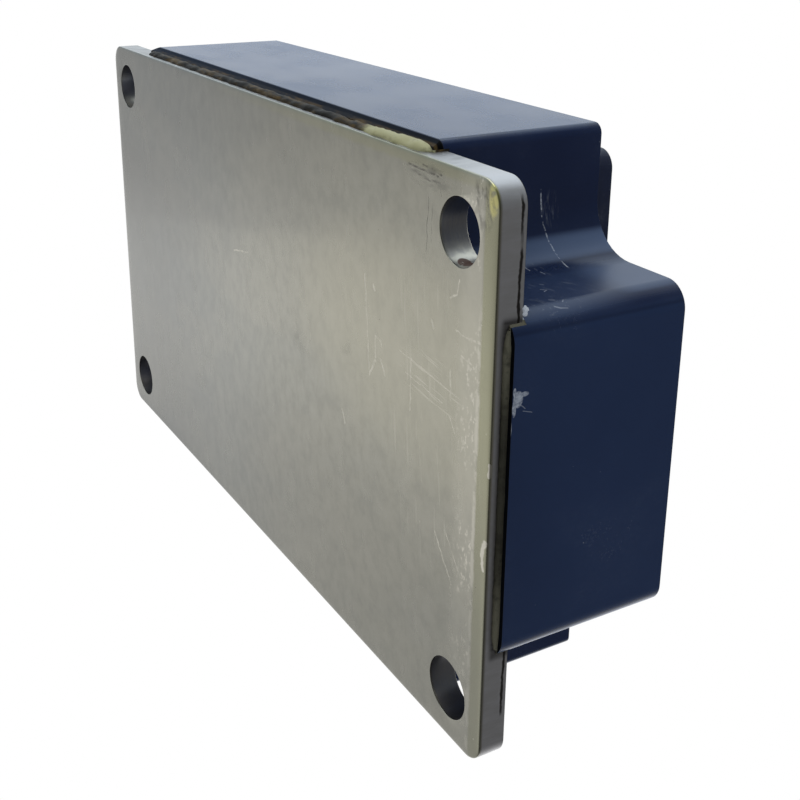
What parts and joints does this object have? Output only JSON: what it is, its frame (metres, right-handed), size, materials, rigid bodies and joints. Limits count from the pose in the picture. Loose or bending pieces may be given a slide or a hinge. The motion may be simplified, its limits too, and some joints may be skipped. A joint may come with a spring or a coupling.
{
  "type": "igbt module",
  "caption": "Half-bridge IGBT power module: a nickel-plated copper baseplate under a dark navy plastic housing with screw recesses at its corners, and screw and tab terminals on top.",
  "frame": {"origin": "centre of the baseplate's mounting face, which is the bottom of the module", "axes": "+X along the module, away from the signal tabs and towards the plus terminal; +Y across it; +Z out of the mounting face towards the terminals"},
  "size_m": [0.1064, 0.0614, 0.0305],
  "materials": {
    "nickel_plated_copper": "worn nickel plating over copper, satin with fine scratches",
    "silicone_adhesive": "cured adhesive, from pale yellow to dark brown",
    "navy_housing_plastic": "dark navy moulded plastic with a low satin sheen",
    "navy_lid_plastic": "dark navy moulded plastic, slightly greyer than the frame",
    "clear_silicone_gel": "clear soft gel",
    "tinned_terminal_copper": "tin-plated copper strip, satin",
    "zinc_plated_steel": "zinc plated",
    "bare_copper": "bright bare copper",
    "aluminium_wire": "bright drawn aluminium",
    "tinned_tab_brass": "tin-plated brass, satin",
    "solder": "dull grey solder",
    "alumina_ceramic": "white sintered ceramic",
    "resistor_chip": "dark polished silicon",
    "igbt_silicon": "metallised silicon",
    "diode_silicon": "metallised silicon"
  },
  "bodies": {
    "root": {"baseplate": "nickel_plated_copper", "adhesive_seal": "silicone_adhesive", "housing_frame": "navy_housing_plastic", "lid": "navy_lid_plastic", "silicone_gel": "clear_silicone_gel", "terminal_plus": "tinned_terminal_copper", "terminal_minus": "tinned_terminal_copper", "terminal_output": "tinned_terminal_copper", "terminal_nuts": "zinc_plated_steel", "phase_link": "bare_copper", "track_links": "aluminium_wire", "gate_tab_high": "tinned_tab_brass", "sense_tab_high": "tinned_tab_brass", "gate_tab_low": "tinned_tab_brass", "sense_tab_low": "tinned_tab_brass", "base_solder_high": "solder", "dbc_bottom_copper_high": "bare_copper", "dbc_ceramic_high": "alumina_ceramic", "dbc_top_copper_high": "bare_copper", "chip_solder_high": "solder", "emitter_wires_high": "aluminium_wire", "gate_wires_high": "aluminium_wire", "gate_resistors_high": "resistor_chip", "igbt_chip_high_1": "igbt_silicon", "diode_chip_high_1": "diode_silicon", "igbt_chip_high_2": "igbt_silicon", "diode_chip_high_2": "diode_silicon", "base_solder_low": "solder", "dbc_bottom_copper_low": "bare_copper", "dbc_ceramic_low": "alumina_ceramic", "dbc_top_copper_low": "bare_copper", "chip_solder_low": "solder", "emitter_wires_low": "aluminium_wire", "gate_wires_low": "aluminium_wire", "gate_resistors_low": "resistor_chip", "igbt_chip_low_1": "igbt_silicon", "diode_chip_low_1": "diode_silicon", "igbt_chip_low_2": "igbt_silicon", "diode_chip_low_2": "diode_silicon"}
  },
  "joints": []
}
